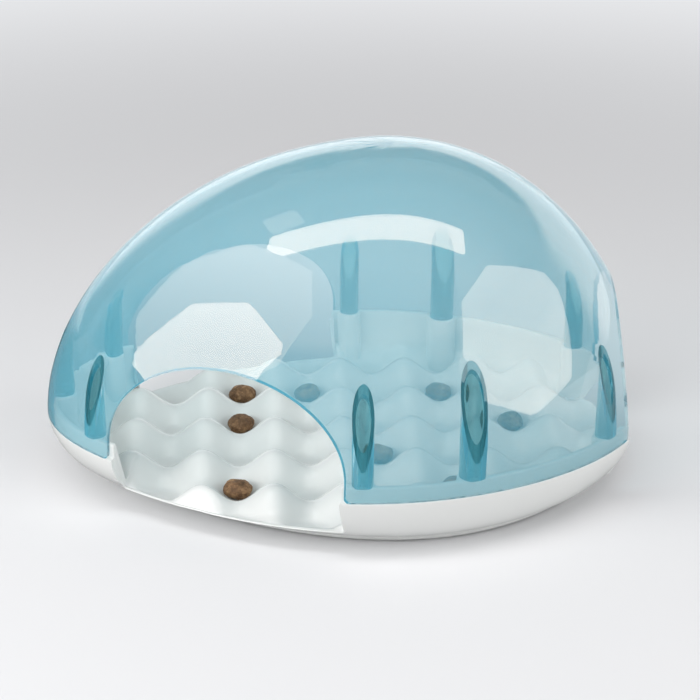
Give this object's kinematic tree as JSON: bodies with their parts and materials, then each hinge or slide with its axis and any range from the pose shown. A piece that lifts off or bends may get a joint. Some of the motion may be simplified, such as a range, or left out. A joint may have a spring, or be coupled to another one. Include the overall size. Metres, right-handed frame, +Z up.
{
  "type": "cat slow feeder",
  "caption": "Egg-shaped pet slow feeder: glossy white bowl with an egg-crate floor under a lift-off clear blue dome with arched paw openings and hollow posts.",
  "frame": {"origin": "on the ground under the middle of the whole feeder's box", "axes": "+X towards the blunt end with the end opening, +Y towards the back side opening, +Z up"},
  "size_m": [0.2604, 0.1884, 0.1517],
  "materials": {
    "white_plastic": "smooth glossy white",
    "clear_blue_plastic": "clear glossy, tinted light blue",
    "rubber": "matt grey",
    "kibble": "dry, rough and brown"
  },
  "bodies": {
    "base": {"base_tray": "white_plastic", "rubber_foot_front_wide": "rubber", "rubber_foot_back_wide": "rubber", "rubber_foot_front_narrow": "rubber", "rubber_foot_back_narrow": "rubber", "kibble_1": "kibble", "kibble_2": "kibble", "kibble_3": "kibble", "kibble_4": "kibble", "kibble_5": "kibble", "kibble_6": "kibble", "kibble_7": "kibble", "kibble_8": "kibble"},
    "dome": {"dome_cover": "clear_blue_plastic", "post_tip": "clear_blue_plastic", "post_front_left": "clear_blue_plastic", "post_back_left": "clear_blue_plastic", "post_front_middle": "clear_blue_plastic", "post_back_middle": "clear_blue_plastic", "post_front_wide": "clear_blue_plastic", "post_back_wide": "clear_blue_plastic", "post_front_right": "clear_blue_plastic", "post_back_right": "clear_blue_plastic"}
  },
  "joints": [
    {"name": "dome_lift", "type": "slide", "parent": "base", "child": "dome", "axis": [0, 0, 1], "range_m": [0, 0.06]}
  ]
}
